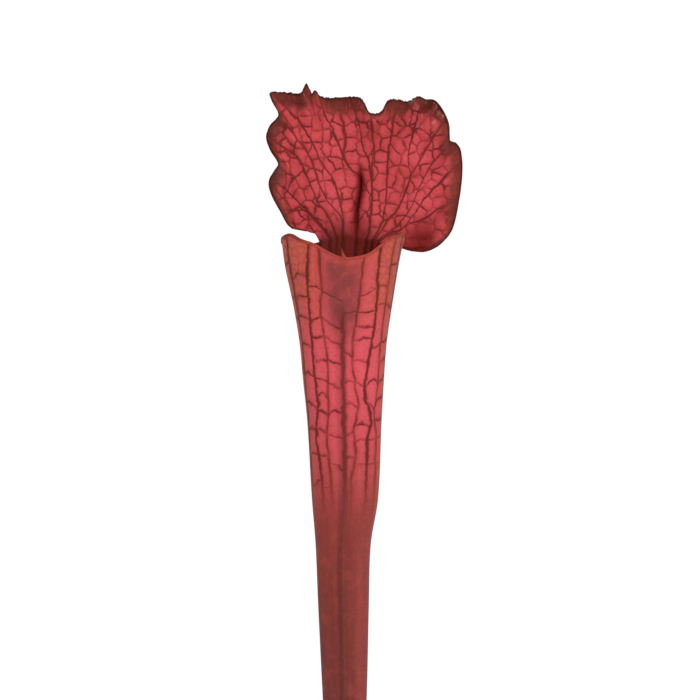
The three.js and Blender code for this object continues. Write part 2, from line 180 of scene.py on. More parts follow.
def rgb(red, green, blue):
    """The linear colour that looks like this on a screen, 0 to 255, in the studio light."""
    linear = (((c / 255 + 0.055) / 1.055) ** 2.4 / LIT for c in (red, green, blue))
    return (*linear, 1.0)


def linked(name, data):
    """A new object of the scene that shows this data."""
    made = bpy.data.objects.new(name, data)
    bpy.context.scene.collection.objects.link(made)
    return made


def body(name, bm):
    """Makes a bmesh in millimetres an object in metres."""
    bmesh.ops.scale(bm, vec=(MM, MM, MM), verts=bm.verts)
    mesh = bpy.data.meshes.new(name)
    bm.to_mesh(mesh)
    bm.free()
    return linked(name, mesh)


def add_piece(name, bm, finish, nodes):
    """Makes a bmesh a smooth piece, in the place of some CAD nodes."""
    piece = body(name, bm)
    piece.data.shade_smooth()
    piece.data.materials.append(finish.material)
    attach(piece, "root")
    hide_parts(*nodes)
    return piece


def applied(piece):
    """Makes a piece's modifiers part of its mesh."""
    depsgraph = bpy.context.evaluated_depsgraph_get()
    mesh = bpy.data.meshes.new_from_object(piece.evaluated_get(depsgraph))
    mesh.name = piece.name
    piece.modifiers.clear()
    piece.data = mesh


def weld(bm, distance):
    bmesh.ops.remove_doubles(bm, verts=bm.verts, dist=distance)


def spun(profile, steps, round_by=0.0):
    """A body of revolution round Z from its profile: pairs of radius and height."""
    bm = bmesh.new()
    points = [bm.verts.new((radius, 0, height)) for radius, height in profile]
    for first, second in zip(points, points[1:]):
        bm.edges.new((first, second))
    if round_by:
        bmesh.ops.bevel(bm, geom=points[1:-1], affect="VERTICES", offset=round_by, segments=4,
                        profile=0.5, material=-1, clamp_overlap=True)
    bmesh.ops.spin(bm, geom=bm.verts[:] + bm.edges[:], cent=(0, 0, 0), axis=(0, 0, 1),
                   angle=math.tau, steps=steps, use_merge=True)
    weld(bm, 0.001)
    bmesh.ops.recalc_face_normals(bm, faces=bm.faces)
    return bm


pot_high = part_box("pot")[1]
rim_radius = pot_high.x / MM
rim_top = pot_high.z / MM
foot_radius = 42.0
foot_width = 3.2
pot_wall = 1.4
floor_under = 4.0
wall_top = 55.4  # outside radius just under the collar
collar_bottom = 89.0
drain_holes = 8
drain_circle = 29
drain_radius = 3.6
middle_hole = 5
foot_notch = (10, 9, 4.8)
sharp_angle = math.radians(35)


def pot_inside(height):
    """The radius of the wall's inner side."""
    share = height / collar_bottom
    return foot_radius + (wall_top - foot_radius) * share - pot_wall


pot_profile = [
    (0, floor_under),
    (foot_radius - foot_width - 1.2, floor_under),
    (foot_radius - foot_width, 0),
    (foot_radius, 0),
    (foot_radius + 1.2, 8),
    (foot_radius + 0.9, 9),
    (wall_top, collar_bottom - 1),
    (rim_radius - 1.6, collar_bottom),
    (rim_radius - 1, rim_top - 4),
    (rim_radius, rim_top - 3),
    (rim_radius, rim_top),
    (rim_radius - 2.8, rim_top),
    (rim_radius - 3.1, collar_bottom + 1.4),
    (wall_top - pot_wall, collar_bottom - 1.5),
    (pot_inside(floor_under + pot_wall), floor_under + pot_wall),
    (0, floor_under + pot_wall),
]

plastic = Finish("charcoal_plastic", 0.35)
spot = plastic.place()
cloud = plastic.noise(spot, 24, 4)
grain = plastic.noise(spot, 0.55, 2)
scuff = plastic.noise(spot, 5, 6, roughness=0.65).ease(0.56, 0.72)
dust = plastic.noise(spot, 13, 6, roughness=0.6).ease(0.48, 0.8) * 0.22
charcoal = plastic.coated(rgb(44, 47, 49), (cloud, rgb(58, 61, 63)), (dust, rgb(96, 90, 82)))
plastic.show(charcoal, 0.42 + grain * 0.16 + scuff * 0.14, grain + scuff * 0.3, 0.00006)

pot = add_piece("pot_body", spun(pot_profile, 144, round_by=0.55), plastic, ["pot"])

cutters = bmesh.new()


def bore(place, radius):
    """Adds a round cutter that goes through the pot's floor."""
    place = place @ Matrix.Translation((0, 0, floor_under))
    bmesh.ops.create_cone(cutters, segments=32, radius1=radius, radius2=radius, depth=10,
                          cap_ends=True, matrix=place)


bore(Matrix(), middle_hole)
for hole in range(drain_holes):
    turn = Matrix.Rotation(math.tau * hole / drain_holes, 4, "Z")
    bore(turn @ Matrix.Translation((drain_circle, 0, 0)), drain_radius)
    in_foot = turn @ Matrix.Translation((foot_radius - foot_width / 2, 0, 0))
    bmesh.ops.create_cube(cutters, size=1, matrix=in_foot @ Matrix.Diagonal((*foot_notch, 1)))
cutter = body("cutters", cutters)
holes = pot.modifiers.new("holes", "BOOLEAN")
holes.operation = "DIFFERENCE"
holes.solver = "EXACT"
holes.object = cutter
applied(pot)
bpy.data.objects.remove(cutter)
pot.data.shade_smooth()
pot.data.set_sharp_from_angle(angle=sharp_angle)

# -------------------- growing medium
# Damp peat with white perlite grains and a few fibres, filled to below the rim. It is loose:
# the top is crumbly, a little domed, and sinks where it meets the wall.

soil_level = 92.0
soil_gap = 0.35  # between the mix and the pot, so that they never touch
soil_floor = floor_under + pot_wall + soil_gap
soil_edge = pot_inside(soil_level - 4) - soil_gap
soil_dome = 1.6
crown = Vector((1, 3, 90))
crown_size = Vector((19, 16, 9))


def off_crown(x, y):
    """0 over the middle of the rhizome's crown, and 1 over its outline."""
    return ((x - crown.x) / crown_size.x) ** 2 + ((y - crown.y) / crown_size.y) ** 2


def soil_top(x, y):
    """Height of the crumbly top, in millimetres."""
    radius = math.hypot(x, y)
    share = min(radius / soil_edge, 1)
    here = Vector((x, y, 0))
    lumps = noise.noise(here * 0.11) * 1.1 + noise.noise(here * 0.34 + Vector((7, 3, 5))) * 0.75
    crumbs = noise.noise(here * 0.95) * 0.45
    edge = 1.6 * max(0, (share - 0.9) / 0.1) ** 2
    return soil_level + soil_dome * (1 - share * share) - 0.9 + lumps + crumbs - edge


peat = Finish("damp_peat", 0.2)
spot = peat.place()
clods = peat.noise(spot, 3.2, 6, roughness=0.7)
fine = peat.noise(spot, 0.6, 4, roughness=0.7)
damp = peat.noise(spot, 16, 2).ease(0.4, 0.65)
earth = peat.coated(
    rgb(34, 24, 17),
    (clods.ease(0.35, 0.65), rgb(74, 52, 36)),
    (damp * 0.5, rgb(28, 20, 15)),
    (fine.ease(0.62, 0.72) * 0.6, rgb(118, 88, 58)),
)
peat.show(earth, 0.95 - damp * 0.3, clods * 0.7 + fine * 0.5, 0.0009)

rings = 90
soil_profile = [(soil_edge * i / rings, soil_level) for i in range(rings + 1)]
soil_profile.append((pot_inside(soil_level / 2) - soil_gap, soil_level / 2))
soil_profile.append((pot_inside(6) - 0.8, soil_floor))
soil_profile.append((0, soil_floor))
soil = spun(soil_profile, 216)
for v in soil.verts:
    if v.co.z > soil_level - 0.01:
        v.co.z = soil_top(v.co.x, v.co.y)
add_piece("potting_mix", soil, peat, ["growing_medium"])


def scatter(name, count, radii, seed, finish, faces, flatness):
    """Loose grains of uneven shape, lying on the soil and round the crown."""
    draw = random.Random(seed)
    bm = bmesh.new()
    for grain_index in range(count):
        turn = draw.uniform(0, math.tau)
        reach = soil_edge * math.sqrt(draw.uniform(0.0, 0.93))
        x, y = reach * math.cos(turn), reach * math.sin(turn)
        size = draw.uniform(*radii) * draw.uniform(0.7, 1.0)
        tilt = Matrix.Rotation(draw.uniform(0, math.tau), 4, draw.choice("XYZ"))
        if off_crown(x, y) < 0.9:
            continue
        squash = Matrix.Diagonal((1, draw.uniform(0.7, 1), draw.uniform(*flatness), 1))
        lift = Matrix.Translation((x, y, soil_top(x, y) + size * 0.35))
        made = bmesh.ops.create_icosphere(bm, subdivisions=faces, radius=size,
                                          matrix=lift @ tilt @ squash)["verts"]
        for v in made:
            away = v.co - Vector((x, y, v.co.z))
            v.co += away * noise.noise(v.co * 0.9 + Vector((grain_index, 0, 0))) * 0.7
            v.co.z += noise.noise(v.co * 1.1) * size * 0.35
    return add_piece(name, bm, finish, ["growing_medium"])


scatter("peat_crumbs", 620, (0.6, 1.9), 11, peat, 2, (0.5, 0.9))

perlite = Finish("perlite", 0.3)
spot = perlite.place()
pores = perlite.noise(spot, 0.45, 4)
stain = perlite.noise(spot, 2.5, 3).ease(0.45, 0.7)
white = perlite.mix(stain * 0.5, rgb(232, 229, 221), rgb(176, 160, 138))
perlite.show(white, 0.7 + pores * 0.2, pores, 0.0002)
scatter("perlite_grains", 150, (0.7, 1.7), 5, perlite, 2, (0.6, 1))


def flat_grid(bm, across, up, columns, rows):
    """A flat sheet of quads over the ranges across and up, to be rolled into a shape later."""
    made = bmesh.ops.create_grid(bm, x_segments=columns, y_segments=rows, size=0.5)["verts"]
    for v in made:
        v.co.x = across[0] + (v.co.x + 0.5) * (across[1] - across[0])
        v.co.y = up[0] + (v.co.y + 0.5) * (up[1] - up[0])
    return made


def strand(bm, path, radius, sides, steps):
    """A thin round strand along path(share), thinned to a point at both ends."""
    for v in flat_grid(bm, (0, math.tau), (0, 1), sides, steps):
        turn, share = v.co.x, v.co.y
        middle = path(share)
        ahead = (path(share + 0.01) - path(share - 0.01)).normalized()
        side = ahead.cross(Vector((0, 0, 1))).normalized()
        thick = radius * min(1, 8 * share, 8 * (1 - share)) ** 0.5
        v.co = middle + thick * (side * math.cos(turn) + ahead.cross(side) * math.sin(turn))


fibre = Finish("peat_fibre", 0.2)
streak = fibre.noise(fibre.place(), 1.5, 3)
fibre.show(fibre.mix(streak, rgb(92, 62, 38), rgb(148, 112, 74)), 0.85)
fibres = bmesh.new()
draw = random.Random(21)
for _ in range(46):
    reach = soil_edge * math.sqrt(draw.uniform(0.16, 0.86))
    turn = draw.uniform(0, math.tau)
    start = Vector((reach * math.cos(turn), reach * math.sin(turn), 0))
    heading = draw.uniform(0, math.tau)
    curl = draw.uniform(-1.6, 1.6)
    length = draw.uniform(4, 13)

    def lying(share):
        way = heading + curl * share
        spot = start + length * share * Vector((math.cos(way), math.sin(way), 0))
        spot.z = soil_top(spot.x, spot.y) + 0.5
        return spot

    strand(fibres, lying, draw.uniform(0.12, 0.26), 5, 12)
weld(fibres, 0.0005)
add_piece("peat_fibres", fibres, fibre, ["growing_medium"])

# -------------------- rhizome
# The creeping stem that every leaf grows from: a brown, scarred crown half out of the peat,
# its older end running back under the surface, and fleshy roots going down into the pot.

old_stem = {"radius": 6.5, "length": 27, "heading": math.radians(165), "drop": 5}
root_count = 6


def lerp(first, second, share):
    return first + (second - first) * share


def crown_top(x, y):
    """Height of the crown's upper side."""
    return crown.z + crown_size.z * math.sqrt(max(0, 1 - off_crown(x, y)))


def root_path(index):
    """The way a root takes from under the crown out and down into the mix."""
    heading = math.tau * index / root_count + math.radians(25)

    def path(share):
        share = min(max(share, 0), 1)
        reach = 6 + 27 * share**0.7
        turn = heading + 0.35 * math.sin(3 * share + index)
        x, y = crown.x + reach * math.cos(turn), crown.y / 2 + reach * math.sin(turn)
        return Vector((x, y, lerp(86, 22 + 5 * (index % 3), share)))

    return path


bark = Finish("rhizome_bark", 0.25)
spot = bark.place()
rough = bark.noise(spot, 2.6, 6, roughness=0.65)
flat = bark.split(spot)
scars = bark.vector(flat + rough * 5, flat.out("Y") - rough * 5, flat.out("Z") * 2.2)
gaps = bark.cells(scars, scale=0.3, dimensions="3D").ease(0.14, 0.0)
brown = bark.coated(
    rgb(70, 44, 28),
    (rough.ease(0.3, 0.7), rgb(128, 88, 56)),
    (gaps * 0.5, rgb(40, 26, 18)),
)
bark.show(brown, 0.8 + rough * 0.15, rough * 0.8 - gaps * 0.7, 0.0007)

stem = bmesh.new()
bmesh.ops.create_icosphere(stem, subdivisions=5, radius=1,
                           matrix=Matrix.Translation(crown) @ Matrix.Diagonal((*crown_size, 1)))
stem_way = Vector((math.cos(old_stem["heading"]), math.sin(old_stem["heading"]), 0))
for share in (0.25, 0.5, 0.75, 1.0):
    knuckle = crown + stem_way * old_stem["length"] * share
    knuckle.z -= 1 + old_stem["drop"] * share
    size = Matrix.Diagonal((8.5, old_stem["radius"], old_stem["radius"] - share, 1))
    turn = Matrix.Rotation(old_stem["heading"], 4, "Z")
    bmesh.ops.create_icosphere(stem, subdivisions=4, radius=1,
                               matrix=Matrix.Translation(knuckle) @ turn @ size)
for index in range(root_count):
    strand(stem, root_path(index), 1.5, 10, 40)
weld(stem, 0.0005)
rhizome = add_piece("rhizome_and_roots", stem, bark, ["rhizome"])
fuse = rhizome.modifiers.new("fuse", "REMESH")
fuse.mode = "VOXEL"
fuse.voxel_size = 0.6 * MM
applied(rhizome)
for v in rhizome.data.vertices:
    spot = v.co / MM
    ring = math.sin(spot.dot(stem_way) * 1.5 + 1.5 * noise.noise(spot * 0.12))
    swell = noise.noise(spot * 0.28) * 0.7 + noise.noise(spot * 0.8) * 0.25 + 0.18 * ring
    keep = 1.0 if spot.z > 80 else 0.25
    v.co -= v.normal * (0.35 - 0.5 * swell) * keep * MM
rhizome.data.shade_smooth()

# -------------------- tall pitcher
# One leaf makes the whole trap: a tube that widens to its mouth, a keel-like wing down the
# front, a rolled lip, and a ruffled hood standing up from the back of the lip. The red leaf
# is crossed by a net of dark veins, and its foot is held in the crown.

SET_BACK = 2  # how far behind the pot's axis the leaves' middle is

# Height, half width, half depth, and how far the middle is set back and to the right.
TUBE = [
    (0, 4.0, 3.8, 0, 0), (7, 4.0, 3.8, 0, 0), (16, 3.1, 2.9, -0.6, 0), (32, 3.5, 3.2, -2.2, 0),
    (60, 5.1, 4.7, -4, 0), (100, 6.9, 6.3, -5, -0.1), (131, 8.0, 7.2, -4.6, -0.5),
    (150, 8.7, 7.8, -4, -0.6), (165, 10.5, 9.3, -3.5, 0), (190, 11.8, 10.3, -2.6, -0.2),
    (204, 12.9, 11.2, -2, -0.5), (216, 13.9, 11.9, -1.4, -0.6), (229, 15.9, 13.2, -0.8, -0.7),
    (242, 18.3, 15.0, -0.2, -1), (250, 19.6, 16.4, 0.2, -0.7),
]
TUBE_TOP = 250
RIM_STARTS = 195

# Height of the lip, by degrees round the mouth from the front towards the right.
LIP = [
    (-180, 250), (-158, 247.6), (-120, 246.2), (-90, 248.8), (-70, 250.6), (-57, 251.2),
    (-45, 249.9), (-28, 248.4), (-12, 245.6), (0, 244.0), (12, 244.2), (25, 245.3), (39, 248.2),
    (52, 250.2), (66, 250.9), (78, 251.6), (92, 249.4), (120, 246.4), (148, 247.8), (180, 249.4),
    (202, 247.6),
]
NECK_RIGHT = 148
NECK_LEFT = 202
NECK_MIDDLE = (NECK_RIGHT + NECK_LEFT) / 2
NECK_FOOT = 215  # the hood's veins run down the back of the tube to this height
SEAM = NECK_LEFT - 360  # the flat sheet is cut here
FINER = 246  # the flat sheet has finer rows from here up to the lip

# The hood's edge from lower right over the top to lower left: place along it, to the right,
# height above the leaf's base, how far it folds back, and its band's width and darkness.
# The band's darkness is partly the leaf's own colour and partly painted shade where the edge turns
# back or curls into a pocket.
HOOD_EDGE = [
    (0, 21.8, 244.7, 0.5, 5, 0.9), (1, 26.5, 244.5, 1.5, 5.5, 0.9), (2, 31.2, 246.8, 2, 3, 0.6),
    (3, 35.2, 251.8, 2, 3, 0.4), (4, 37.4, 261.2, 2, 6.5, 0.4), (5, 38.5, 270.8, 3, 7, 0.4),
    (6, 38, 277.2, 2.5, 7, 0.4), (7, 36.6, 279.8, 1, 6.5, 0.4), (8, 34.3, 281.1, -1, 5.5, 0.4),
    (9, 33.9, 286, 0, 4, 0.3), (10, 32.4, 290, 2, 5, 0.6), (11, 29.6, 293.8, 4, 6, 1),
    (12, 26.6, 294.3, 0, 5.5, 1), (12.6, 25.2, 295.1, -3, 3.5, 0.4),
    (13, 24, 295.5, -3.5, 4, 0.5), (14, 20.8, 293.8, 2, 7, 0.5), (15, 17.9, 294.3, 2, 7.5, 0.5),
    (16, 14.9, 294.4, 1, 6.5, 0.5), (16.6, 13.7, 293.4, 0.5, 4, 0.4),
    (17, 12.6, 291.2, 0, 2.5, 0.3), (17.5, 11.2, 290.1, -0.5, 2, 0.3),
    (18, 9.6, 289.8, -1, 2, 0.2), (18.5, 8.2, 290.2, -1.2, 2, 0.3), (19, 7, 291.5, -1.2, 3, 0.3),
    (19.4, 6.2, 293.4, -0.8, 4.5, 0.4), (20, 4.9, 294.9, -0.5, 6, 0.5),
    (21, 2.6, 295.3, 1, 6.5, 0.6), (22, -1.6, 295, 2.5, 7, 0.65), (23, -5.7, 294.9, 2, 6.5, 0.55),
    (24, -8.2, 295.6, 0.5, 4.5, 0.35), (25, -9.8, 297.4, -1, 5, 0.1),
    (26, -11, 296.4, -1, 5, 0.1), (27, -12.8, 299.6, -1, 6, 0.3), (28, -14.6, 296.5, 0, 7, 0.8),
    (29, -19, 296.7, 1, 8, 0.85), (29.6, -22.6, 297, 0, 7.5, 0.75),
    (30, -24.5, 296.6, -1, 6.5, 0.5), (30.4, -23.5, 293.8, -1, 4.5, 0.4),
    (31, -21.7, 290, -0.5, 4, 0.3), (31.5, -22.6, 288, 1, 4, 0.4),
    (32, -24.8, 285.6, 4, 6.5, 0.55), (33, -25.8, 281.8, 5.5, 7, 0.55),
    (34, -24.4, 277.7, 4, 6, 0.45), (35, -21.9, 273.6, 0, 3, 0.2),
    (36, -23.6, 270.3, 3.5, 5.5, 0.6), (37, -25.1, 267.2, 5.5, 6.5, 0.6),
    (38, -24.2, 263.1, 4, 5, 0.3), (39, -21.2, 257.6, 2.2, 4, 0.2), (40, -19, 253.6, 2, 2, 0.1),
    (41, -17.2, 252, 1, 2, 0),
]
EDGE_STEPS = HOOD_EDGE[-1][0]

# The middle of the hood in side view: share of the way up, and how far back it is.
HOOD_SIDE = [(0, 16.2), (0.25, 19.2), (0.5, 20.2), (0.75, 18.6), (1, 13.5)]
HOOD_SPAN = 50  # the flat sheet's height for the hood
HOOD_CHEEK = 3.2  # how much the hood's left and right halves bulge forward
LEFT_SWING = 7  # how much the hood's left third curves out to its edge
LEFT_LIFT = 2.1  # how much the hood's left edge is lifted off the lip by its neck
CREASE = {"depth": 3.0, "half_width": 1.3, "ends": 0.58}
BARB = {"around": 1, "half_width": 1.05, "height": 3.2, "lean": -0.9}  # at the lip's front

# The deep crease up the middle of the hood: share of the way up, and how far it is to the right.
CREASE_LINE = [(0, 3.3), (0.17, 3.5), (0.25, 4.3), (0.36, 5.2), (0.5, 5.0), (1, 5.0)]

# Height above the leaf's base, and how far the wing stands out.
WING = [(10, 0), (40, 2), (100, 2.8), (180, 2.5), (225, 1.3), (242, 0)]
WING_FOOT = 15  # degrees from the front

# Long veins of the tube, in order round it: degrees from the front, at heights.
TUBE_MAIN_VEINS = [
    [(0, -112), (250, -112)],
    [(0, -68), (180, -72), (250, -66)],
    [(0, -42), (170, -42), (183, -51), (188, -51), (195, -43), (210, -46), (227, -44),
     (250, -33)],
    [(0, 0), (250, 0)],
    [(0, 38), (185, 38), (191, 46), (199, 32), (207, 34), (217, 41), (230, 42), (250, 38)],
    [(0, 80), (200, 84), (250, 80)],
    [(0, 124), (250, 124)],
    [(0, 163), (250, 163)],
]
TUBE_SIDE_VEINS = [
    [(0, -135), (250, -135)],
    [(0, -90), (250, -90)],
    [(0, -24), (170, -23), (184, -28), (193, -24), (211, -22), (227, -27), (237, -22),
     (250, -22)],
    [(0, 11), (172, 11), (181, 18), (188, 14), (195, 22), (204, 16), (216, 12), (231, 17),
     (250, 21)],
    [(0, 60), (185, 60), (194, 52), (201, 58), (250, 60)],
    [(0, 102), (250, 102)],
    [(0, 143), (250, 143)],
    [(0, 182), (250, 182)],
]
TUBE_VEINS = {"main": TUBE_MAIN_VEINS, "side": TUBE_SIDE_VEINS}

# Cross veins of the tube's front, by the long vein to their left in the order round the tube:
# their heights at the left and right ends, and how far they arch up between, if they do.
TUBE_RUNGS = {
    4: [(235, 238), (230, 231), (224.7, 223), (215.7, 214, 0.5), (204.7, 204.7, 1.4),
        (196.7, 194, 1.2), (187.7, 188), (179.7, 179.7, 0.5), (171, 172)],
    5: [(234.3, 235.7), (222.3, 226), (218, 219.7, -0.3), (210.3, 211.3), (205, 203.8),
        (198.7, 197.7, 1.6), (194, 192.3, 0.9), (189, 186.7), (179.3, 179.7), (170, 171)],
    6: [(234.3, 234.3, 0.4), (226, 224.6, -1.4), (219.7, 218.7, -0.9), (211.7, 210.7, -0.6),
        (204, 201.9, -0.6), (192.3, 192.7, 2.2), (186.3, 185.3), (179.3, 176.7, -0.9)],
    7: [(229, 230.3), (216, 213), (203.7, 204, 0.5), (196, 194.7, 1.4), (185.3, 188),
        (179.3, 179), (170, 168)],
    8: [(236, 234), (230, 227), (225, 221), (219.5, 218.5, 0.8), (211.3, 210.5, 0.4),
        (204.3, 202, 0.4), (189.3, 188.3, 1), (183.3, 184, 1.4), (178.7, 177.3, 0.4)],
    9: [(234.3, 233), (230, 228), (215.3, 216, -1.2), (202, 202, 1.7), (197.3, 193.3),
        (191, 190.7), (184.3, 185.3), (177.3, 179)],
    10: [(240, 239), (228, 226), (216, 215.7), (209, 211), (203, 206), (197, 199), (190.7, 191.3),
         (185, 186), (178, 179)],
}

# Veins that fan out over the hood, from right to left: share of the way along its edge, at
# shares of the way up.
HOOD_MAIN_VEINS = [
    [(0, 0.01), (0.2, 0.07), (0.41, 0.073), (0.51, 0.1), (0.61, 0.124), (0.74, 0.13), (1, 0.134)],
    [(0, 0.03), (0.09, 0.1), (0.2, 0.154), (0.33, 0.158), (0.46, 0.188), (0.56, 0.212),
     (0.6, 0.245), (0.66, 0.27), (0.78, 0.288), (1, 0.31)],
    [(0, 0.04), (0.09, 0.122), (0.2, 0.178), (0.29, 0.238), (0.41, 0.29), (0.55, 0.33),
     (0.71, 0.352), (1, 0.37)],
    [(0, 0.16), (0.06, 0.21), (0.16, 0.29), (0.33, 0.355), (0.46, 0.392), (0.62, 0.435),
     (0.66, 0.455), (0.77, 0.47), (0.88, 0.5), (1, 0.53)],
    [(0, 0.35), (0.07, 0.375), (0.2, 0.41), (0.32, 0.428), (0.44, 0.44), (0.49, 0.495),
     (0.57, 0.535), (0.76, 0.562), (1, 0.6)],
    [(0, 0.6), (0.12, 0.568), (0.33, 0.592), (0.42, 0.618), (0.51, 0.66), (0.67, 0.692),
     (1, 0.735)],
    [(0, 0.82), (0.12, 0.835), (0.26, 0.86), (0.42, 0.882), (0.57, 0.895), (1, 0.89)],
]

# Veins between them. Most take their first rows from a main one, and then fork off it.
HOOD_SIDE_VEINS = [
    [*HOOD_MAIN_VEINS[0][:3], (0.51, 0.082), (0.69, 0.088), (0.82, 0.098), (1, 0.1)],
    [(0, 0.02), (0.2, 0.078), (0.34, 0.102), (0.49, 0.132), (0.58, 0.162), (0.75, 0.187), (1, 0.19)],
    [*HOOD_MAIN_VEINS[2][:2], (0.19, 0.17), (0.25, 0.157), (0.33, 0.159), (0.46, 0.188),
     (0.56, 0.21), (0.73, 0.224), (1, 0.235)],
    [*HOOD_MAIN_VEINS[3][:5], (0.6, 0.405), (0.8, 0.43), (1, 0.455)],
    [*HOOD_MAIN_VEINS[4][:5], (0.49, 0.49), (0.57, 0.53), (0.66, 0.523), (0.8, 0.53), (1, 0.545)],
    [*HOOD_MAIN_VEINS[5][:2], (0.2, 0.66), (0.27, 0.7), (0.38, 0.72), (0.6, 0.725), (0.79, 0.752),
     (1, 0.77)],
    [(0, 0.7), (0.2, 0.745), (0.3, 0.768), (0.6, 0.767), (0.8, 0.785), (1, 0.8)],
    [*HOOD_MAIN_VEINS[6][:3], (0.42, 0.884), (0.6, 0.93), (0.8, 0.95), (1, 0.96)],
]
HOOD_VEINS = {"main": HOOD_MAIN_VEINS, "side": HOOD_SIDE_VEINS}


def ease(value, low, high):
    """The same as Wire.ease, on numbers."""
    share = min(max((value - low) / (high - low), 0), 1)
    return share * share * (3 - 2 * share)


def bell(value, middle, width):
    """1 at the middle, and soon 0 further than width from it."""
    return math.exp(-(((value - middle) / width) ** 2))


def along(rows, x):
    """The values at x on smooth curves through rows of (x, value, value, ...)."""
    i = 0
    while i < len(rows) - 2 and x > rows[i + 1][0]:
        i += 1
    low, high = rows[i], rows[i + 1]
    before, after = rows[max(i - 1, 0)], rows[min(i + 2, len(rows) - 1)]
    span = high[0] - low[0]
    t = min(max((x - low[0]) / span, 0), 1)
    rise = 2 * t**3 - 3 * t**2 + 1
    values = []
    for n in range(1, len(low)):
        start = (high[n] - before[n]) / (high[0] - before[0]) * span
        end = (after[n] - low[n]) / (after[0] - low[0]) * span
        bend = (t**3 - 2 * t**2 + t) * start + (t**3 - t**2) * end
        values.append(rise * low[n] + (1 - rise) * high[n] + bend)
    return values


@functools.cache
def tube_ring(height):
    return along(TUBE, height)


@functools.cache
def lip_height(around):
    return along(LIP, around)[0]


@functools.cache
def hood_edge(across):
    return along(HOOD_EDGE, across * EDGE_STEPS)


@functools.cache
def plain_edge(across):
    """The hood's edge without its lobes and notches, for the part of the hood well inside it."""
    reach = min(3, across * EDGE_STEPS, (1 - across) * EDGE_STEPS) / EDGE_STEPS
    near = [hood_edge(across + reach * step / 3) for step in range(-3, 4)]
    return sum(x for x, *_ in near) / 7, sum(z for _, z, *_ in near) / 7


def tube_point(around, height):
    """The tube's surface, whose top follows the lip."""
    half_width, half_depth, back, right = tube_ring(height)
    up = height + (lip_height(around) - TUBE_TOP) * ease(height, RIM_STARTS, TUBE_TOP)
    turn = math.radians(around)
    return Vector((right + half_width * math.sin(turn), back - half_depth * math.cos(turn), up))


def hood_point(across, up):
    """The hood's surface, with its crease, its bent-back lobes and its fine ruffles."""
    neck = tube_point(lerp(NECK_RIGHT, NECK_LEFT, across), TUBE_TOP)
    edge_x, edge_z, fold, band, _ = hood_edge(across)
    plain_x, plain_z = plain_edge(across)
    lobed = ease(up, 0.5, 1)
    in_left = ease(across, 0.6, 0.75) * ease(across, 1, 0.92)
    swing = LEFT_SWING * in_left * up * up * (1 - up)
    x = lerp(neck.x, plain_x, up) + (edge_x - plain_x) * lobed + swing
    z = lerp(neck.z, plain_z, up) + (edge_z - plain_z) * lobed + swing
    z += LEFT_LIFT * ease(across, 0.88, 1) * ease(up, 0.04, 0.2) * (1 - up)
    side = abs(2 * across - 1)
    cheek = HOOD_CHEEK * math.sin(math.pi * side) ** 2 * ease(up, 0, 0.5)
    crease = CREASE["depth"] * bell(x, along(CREASE_LINE, up)[0], CREASE["half_width"])
    crease *= ease(up, 0, 0.1) * (1 - ease(up, CREASE["ends"] - 0.2, CREASE["ends"]))
    middle = along(HOOD_SIDE, up)[0]
    y = lerp(middle, neck.y + middle - HOOD_SIDE[0][1], 1 - ease(up, 0, 0.3))
    fold_width = max(band, 5) / HOOD_SPAN
    turned_back = ease(up, 1 - 1.4 * fold_width, 1 - 0.2 * fold_width)
    y += fold * (0.4 * ease(up, 0.3, 1) + 1.1 * turned_back) - cheek + crease
    waves = noise.noise(Vector((across * 26, up * 1.2, 3))) * 1.1
    waves += noise.noise(Vector((across * 80, up * 2, 8))) * 0.35
    y += waves * up**7 + 1.6 * ease(up, 0.9, 1) ** 2
    y += noise.noise(Vector((across * 9, up * 4, 1))) * 0.9 * ease(up, 0.1, 0.5)
    teeth = noise.noise(Vector((across * 230, 0, 5))) * 0.55 - 0.2
    on_top = ease(across, 0.28, 0.34) * (1 - ease(across, 0.74, 0.78))
    return Vector((x, y, z + teeth * on_top * ease(up, 0.9, 1)))


def hood_place(around, height):
    """How far across and up the hood a point of the flat leaf is, as shares."""
    return (around - NECK_RIGHT) / (NECK_LEFT - NECK_RIGHT), (height - TUBE_TOP) / HOOD_SPAN


def leaf_point(around, height):
    """A point of the flat leaf, rolled up: degrees round the tube, and height up it."""
    if height <= TUBE_TOP:
        return tube_point(around, height)
    return hood_point(*hood_place(around, height))


def hood_painted_shade(across, up, x, z):
    """How dark the hood's painted shade is in its crease, at its foot, under its right lobe and by
    the lip.
    """
    slit = bell(x, along(CREASE_LINE, up)[0], 0.8 + 0.6 * bell(up, 0.34, 0.12))
    slit *= 1 - ease(up, 0.44, 0.58)
    foot = 1 - ease(up, -0.05, 0.22)
    turned_under = (1 - ease(across, 0.05, 0.12)) * ease(up, 0.35, 0.7)
    turned_under *= 1 - 0.8 * ease(x, 27, 33)
    pocket = bell(x, 26, 4) * bell(z, 248.4, 2)
    return max(slit * 0.96, foot * 0.92, turned_under * 0.75, pocket * 0.95)


@functools.cache
def vein_row(family, on_hood, level):
    """Where a family of veins crosses a level, from one end to the other, and the gaps in mm."""
    if on_hood:
        veins, first, last, point = HOOD_VEINS[family], 0, 1, hood_point
    else:
        veins, first, last, point = TUBE_VEINS[family], SEAM, NECK_LEFT, tube_point
    places = [first, *(along(rows, level)[0] for rows in veins), last]
    for i in range(1, len(places)):
        places[i] = max(places[i], places[i - 1] + 1e-4 * (last - first))
    on_leaf = [point(place, level) for place in places]
    return places, [(b - a).length for a, b in zip(on_leaf, on_leaf[1:])]


def address(place, places, gaps):
    """How many places lie before place, plus its share of the next gap, and that gap's width."""
    i = max(min(bisect.bisect_right(places, place), len(places) - 1) - 1, 0)
    share = (place - places[i]) / (places[i + 1] - places[i])
    beside = lerp(gaps[max(i - 1, 0)], gaps[min(i + 1, len(gaps) - 1)], share)
    return i + share, (gaps[i] + beside) / 2


@functools.cache
def vein_address(family, on_hood, place, level):
    return address(place, *vein_row(family, on_hood, level))


